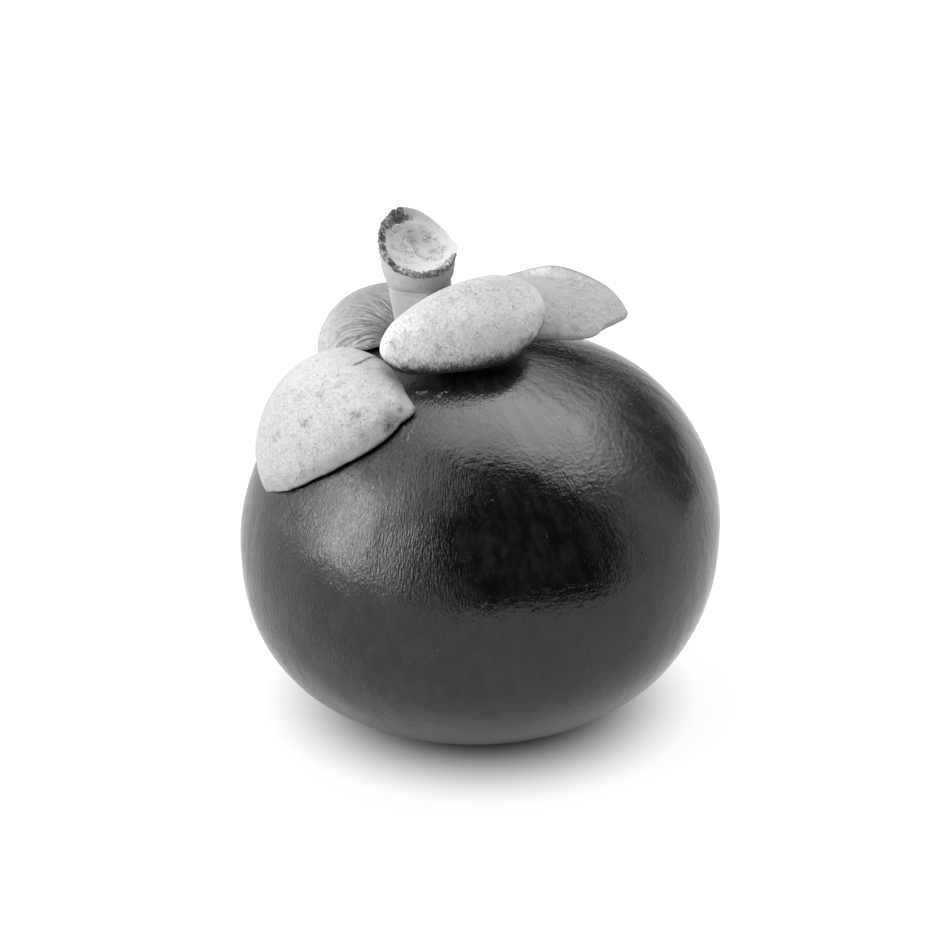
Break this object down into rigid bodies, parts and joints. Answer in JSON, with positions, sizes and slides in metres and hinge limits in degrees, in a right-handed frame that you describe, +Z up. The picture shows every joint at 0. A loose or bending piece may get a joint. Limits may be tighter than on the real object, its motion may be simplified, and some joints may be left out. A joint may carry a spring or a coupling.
{
  "type": "mangosteen",
  "caption": "Whole mangosteen with glossy dark rind, thick curled sepals and a short cut stalk, standing upright on its flattened base.",
  "frame": {"origin": "on the surface the fruit rests on, under the middle of its bounding box", "axes": "+Z up, from the flattened base to the stalk; -Y towards the side that the large curled front sepal and the cut end of the stalk face; +X to the right when looking along +Y"},
  "size_m": [0.0605, 0.0601, 0.0655],
  "materials": {
    "rind_skin": "glossy, finely fibrous skin",
    "sepal_flesh": "matte, finely mottled, darker along the margins",
    "stalk_wood": "smooth green wood with a rough cut end",
    "scar_bark": "rough dry bark"
  },
  "bodies": {
    "root": {"rind": "rind_skin", "stigma_scar": "scar_bark", "stalk": "stalk_wood", "sepal_front": "sepal_flesh", "sepal_left": "sepal_flesh", "sepal_right": "sepal_flesh", "sepal_back": "sepal_flesh"}
  },
  "joints": []
}
